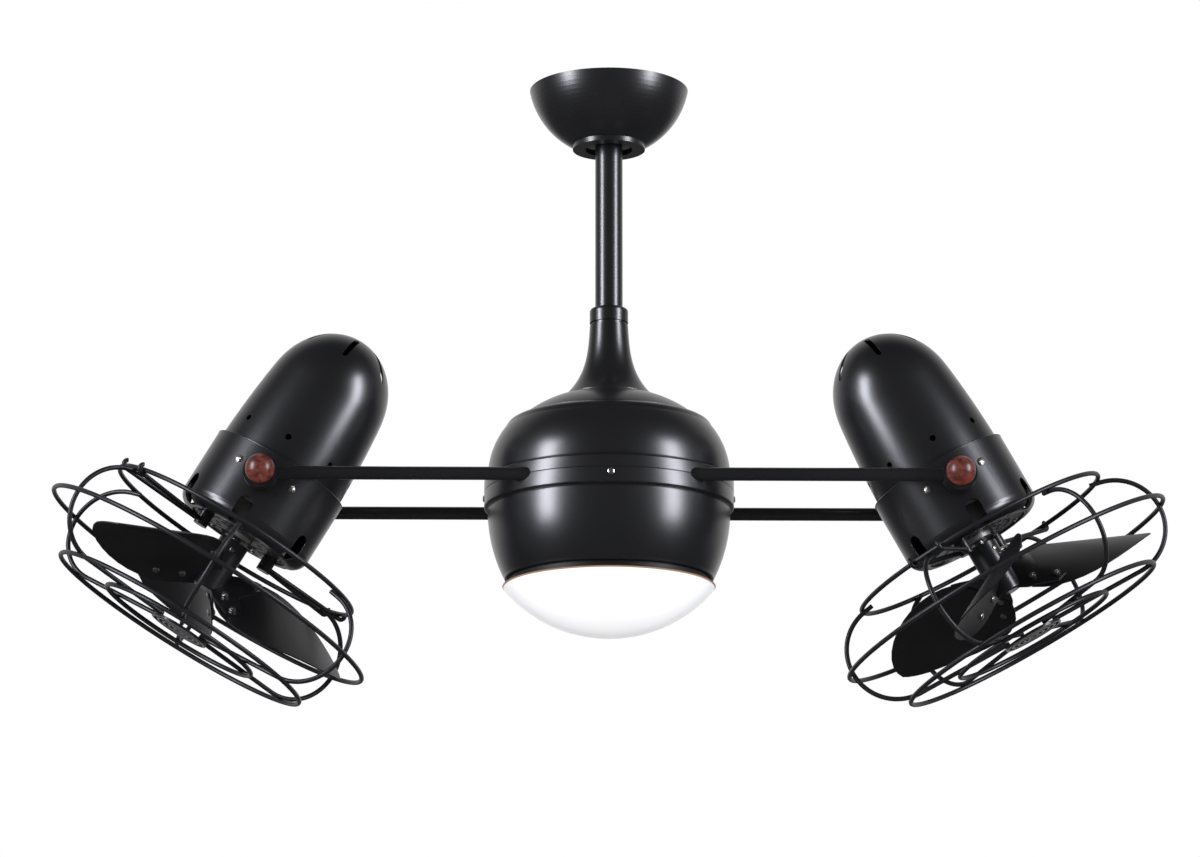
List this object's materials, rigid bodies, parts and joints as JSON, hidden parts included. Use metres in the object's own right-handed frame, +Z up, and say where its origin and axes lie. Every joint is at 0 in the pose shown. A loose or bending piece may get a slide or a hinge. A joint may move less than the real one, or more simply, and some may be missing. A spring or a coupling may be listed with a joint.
{
  "type": "twin head ceiling fan",
  "caption": "Ceiling fan with a turning hub, a glass bowl light below it and caged fan heads that tilt at the ends of a pair of arm rods.",
  "frame": {"origin": "centre of the ceiling bracket's top face, in the ceiling plane", "axes": "+Z up into the ceiling, X along the arm rods with the right head at +X, -Y toward the viewer"},
  "size_m": [1.0719, 0.3504, 0.6101],
  "materials": {
    "black_finish": "satin black powder coat",
    "blade_black": "matt black paint on sheet steel",
    "fitter_black": "matt black",
    "zinc_steel": "zinc plated",
    "screw_steel": "bright nickel",
    "plate_steel": "dull dark zinc",
    "cast_alloy": "as cast",
    "copper_winding": "enamelled copper wire",
    "contact_brass": "polished",
    "magnet_steel": "dark",
    "brown_plastic": "moulded",
    "board_white": "white",
    "opal_glass": "opal white, satin",
    "dark_wood": "lacquered reddish brown"
  },
  "bodies": {
    "ceiling_mount": {"ceiling_bracket": "zinc_steel", "canopy": "black_finish", "canopy_screws": "screw_steel", "trim_ring": "black_finish"},
    "hanger": {"hanging_ball": "zinc_steel", "downrod": "black_finish", "cross_pins": "zinc_steel", "rod_collar": "black_finish", "spindle": "zinc_steel", "turn_stator": "copper_winding", "slip_ring": "contact_brass", "hub_bearings": "zinc_steel"},
    "turning_hub": {"turn_rotor": "magnet_steel", "brush_block": "brown_plastic", "arm_carrier": "cast_alloy", "neck_cover": "black_finish", "top_cap": "black_finish", "upper_housing": "black_finish", "lower_housing": "black_finish", "housing_screws": "screw_steel", "arm_rods": "black_finish", "arm_sockets": "black_finish", "lamp_pan": "fitter_black", "led_board": "board_white", "led_driver": "board_white", "glass_bowl": "opal_glass"},
    "left_head": {"left_motor_dome": "black_finish", "left_motor_band": "black_finish", "left_face_plate": "plate_steel", "left_motor_can": "cast_alloy", "left_stator": "copper_winding", "left_bearings": "zinc_steel", "left_pivot_brackets": "plate_steel", "left_dome_screws": "screw_steel", "left_cage": "black_finish", "left_badge": "black_finish", "left_cage_clamps": "black_finish"},
    "left_fan": {"left_rotor": "zinc_steel", "left_fan_hub": "black_finish", "left_blades": "blade_black", "left_blade_screws": "screw_steel"},
    "left_front_clamp_knob": {"left_front_knob": "dark_wood"},
    "left_rear_clamp_knob": {"left_rear_knob": "dark_wood"},
    "right_head": {"right_motor_dome": "black_finish", "right_motor_band": "black_finish", "right_face_plate": "plate_steel", "right_motor_can": "cast_alloy", "right_stator": "copper_winding", "right_bearings": "zinc_steel", "right_pivot_brackets": "plate_steel", "right_dome_screws": "screw_steel", "right_cage": "black_finish", "right_badge": "black_finish", "right_cage_clamps": "black_finish"},
    "right_fan": {"right_rotor": "zinc_steel", "right_fan_hub": "black_finish", "right_blades": "blade_black", "right_blade_screws": "screw_steel"},
    "right_front_clamp_knob": {"right_front_knob": "dark_wood"},
    "right_rear_clamp_knob": {"right_rear_knob": "dark_wood"}
  },
  "joints": [
    {"name": "downrod_rock", "type": "hinge", "parent": "ceiling_mount", "child": "hanger", "pos_m": [0, 0, -0.028], "axis": [0, 1, 0], "range_deg": [-8, 8]},
    {"name": "hub_turn", "type": "hinge", "parent": "hanger", "child": "turning_hub", "pos_m": [0, 0, -0.4055], "axis": [0, 0, 1], "continuous": true},
    {"name": "left_tilt", "type": "hinge", "parent": "turning_hub", "child": "left_head", "pos_m": [-0.33, 0, -0.4055], "axis": [0, 1, 0], "range_deg": [-46, 59]},
    {"name": "left_fan_spin", "type": "hinge", "parent": "left_head", "child": "left_fan", "pos_m": [-0.33, 0, -0.4055], "axis": [-0.515, 0, -0.8572], "continuous": true},
    {"name": "left_front_knob_turn", "type": "hinge", "parent": "turning_hub", "child": "left_front_clamp_knob", "pos_m": [-0.33, -0.106, -0.4055], "axis": [0, -1, 0], "range_deg": [0, 360]},
    {"name": "left_rear_knob_turn", "type": "hinge", "parent": "turning_hub", "child": "left_rear_clamp_knob", "pos_m": [-0.33, 0.106, -0.4055], "axis": [0, 1, 0], "range_deg": [0, 360]},
    {"name": "right_tilt", "type": "hinge", "parent": "turning_hub", "child": "right_head", "pos_m": [0.33, 0, -0.4055], "axis": [0, -1, 0], "range_deg": [-44, 61]},
    {"name": "right_fan_spin", "type": "hinge", "parent": "right_head", "child": "right_fan", "pos_m": [0.33, 0, -0.4055], "axis": [0.4848, 0, -0.8746], "continuous": true},
    {"name": "right_front_knob_turn", "type": "hinge", "parent": "turning_hub", "child": "right_front_clamp_knob", "pos_m": [0.33, -0.106, -0.4055], "axis": [0, -1, 0], "range_deg": [0, 360]},
    {"name": "right_rear_knob_turn", "type": "hinge", "parent": "turning_hub", "child": "right_rear_clamp_knob", "pos_m": [0.33, 0.106, -0.4055], "axis": [0, 1, 0], "range_deg": [0, 360]}
  ]
}
